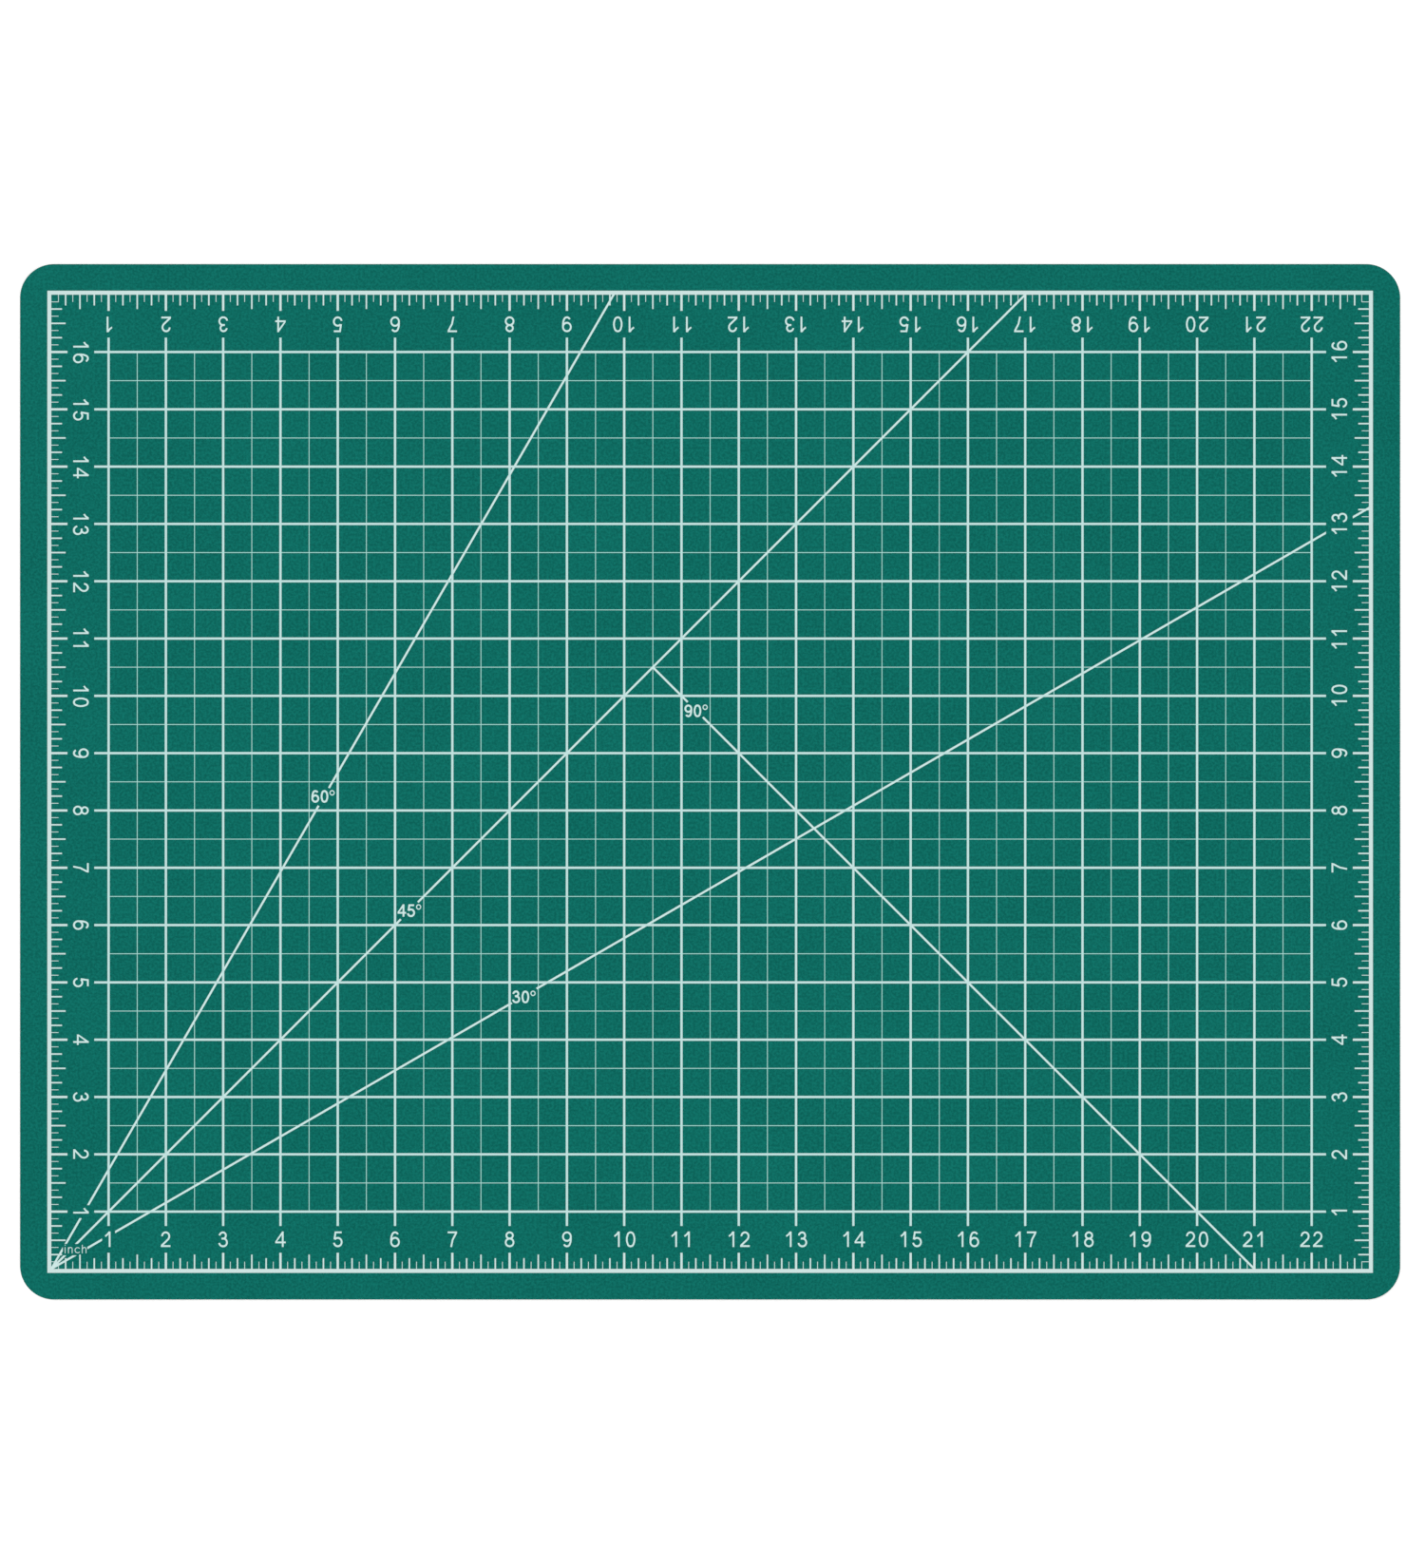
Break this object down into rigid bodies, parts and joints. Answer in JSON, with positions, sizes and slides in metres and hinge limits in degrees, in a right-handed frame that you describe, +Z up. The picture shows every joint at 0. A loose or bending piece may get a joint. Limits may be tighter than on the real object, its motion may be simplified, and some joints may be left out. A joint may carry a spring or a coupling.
{
  "type": "self-healing cutting mat",
  "caption": "Flat rounded rectangular cutting mat of bonded PVC plies, green on one face and black on the other, with printed inch scales, grid and angle guides.",
  "frame": {"origin": "under the middle of the mat, on the plane of the black side's ink that it rests on", "axes": "+X along the long near edge, +Y to the far edge, +Z up through the green face"},
  "size_m": [0.612, 0.459, 0.0033],
  "materials": {
    "green_pvc": "finely pebbled non-glare PVC, deep teal green",
    "green_soft_pvc": "soft plasticised PVC, cut edge",
    "core_pvc": "stiff off-white PVC, cut edge",
    "black_soft_pvc": "soft plasticised PVC, dark grey, cut edge",
    "black_pvc": "finely pebbled non-glare PVC, black",
    "green_side_ink": "matte screen-printed off-white ink",
    "black_side_ink": "matte screen-printed off-white ink"
  },
  "bodies": {
    "root": {"green_skin": "green_pvc", "green_healing_ply": "green_soft_pvc", "core_sheet": "core_pvc", "black_healing_ply": "black_soft_pvc", "black_skin": "black_pvc", "green_scale_near": "green_side_ink", "green_scale_right": "green_side_ink", "green_scale_far": "green_side_ink", "green_scale_left": "green_side_ink", "green_inch_lines_up": "green_side_ink", "green_inch_lines_across": "green_side_ink", "green_half_lines_up": "green_side_ink", "green_half_lines_across": "green_side_ink", "green_angle_guides": "green_side_ink", "black_scale_near": "black_side_ink", "black_scale_right": "black_side_ink", "black_scale_far": "black_side_ink", "black_scale_left": "black_side_ink", "black_inch_lines_up": "black_side_ink", "black_inch_lines_across": "black_side_ink", "black_half_lines_up": "black_side_ink", "black_half_lines_across": "black_side_ink", "black_angle_guides": "black_side_ink"}
  },
  "joints": []
}
